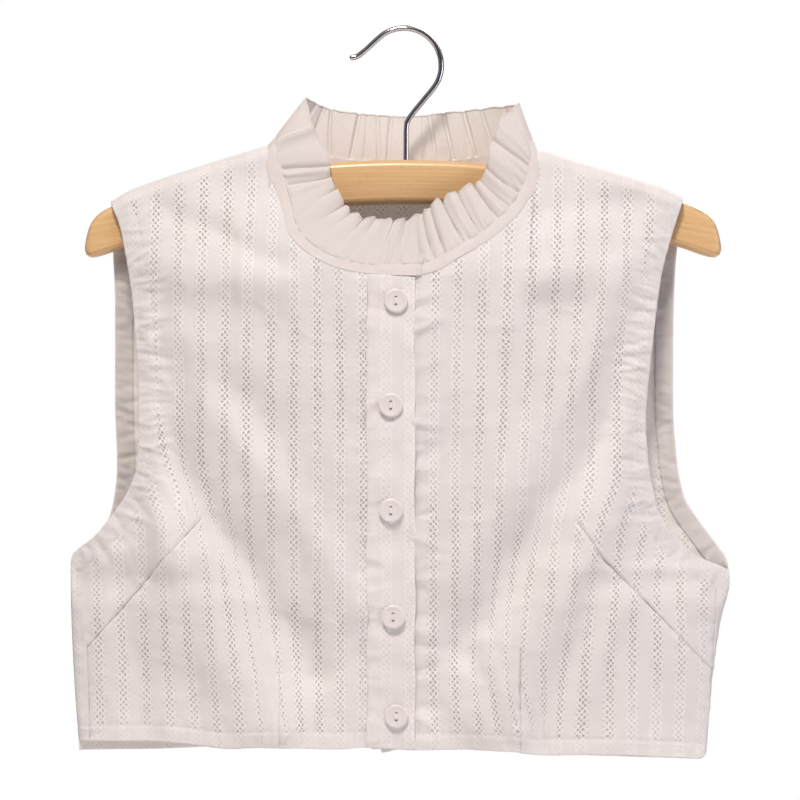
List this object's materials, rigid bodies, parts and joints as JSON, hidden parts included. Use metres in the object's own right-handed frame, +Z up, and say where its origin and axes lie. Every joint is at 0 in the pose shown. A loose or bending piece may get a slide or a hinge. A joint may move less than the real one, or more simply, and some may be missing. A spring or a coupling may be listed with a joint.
{
  "type": "sleeveless ruffle-collar dickey blouse on a wooden hanger",
  "caption": "Cropped sleeveless cotton dickey blouse with a gathered stand collar, a buttoned front placket and faced armholes, hung on a wooden hanger with a wire hook.",
  "frame": {"origin": "on the rail: the inside of the hook's highest point, where the hanger hangs", "axes": "+Z up; the garment's front faces -Y; +X to the right in the front view, which is the wearer's left"},
  "size_m": [0.4153, 0.0641, 0.4625],
  "materials": {
    "striped_cotton": "white cotton voile with openwork lace stripes, slightly sheer, soft sheen",
    "plain_cotton": "plain white cotton voile, matte",
    "button": "white polyester with a soft gloss",
    "wood": "pale lotus wood under clear lacquer",
    "wire": "bright chrome plated steel"
  },
  "bodies": {
    "root": {"front_right": "striped_cotton", "front_left": "striped_cotton", "back": "striped_cotton", "placket": "striped_cotton", "facing_front_right": "plain_cotton", "facing_back_right": "plain_cotton", "facing_front_left": "plain_cotton", "facing_back_left": "plain_cotton", "neckband": "plain_cotton", "ruffle": "plain_cotton", "button_1": "button", "button_2": "button", "button_3": "button", "button_4": "button", "button_5": "button", "hanger_bar": "wood", "hanger_hook": "wire"}
  },
  "joints": []
}
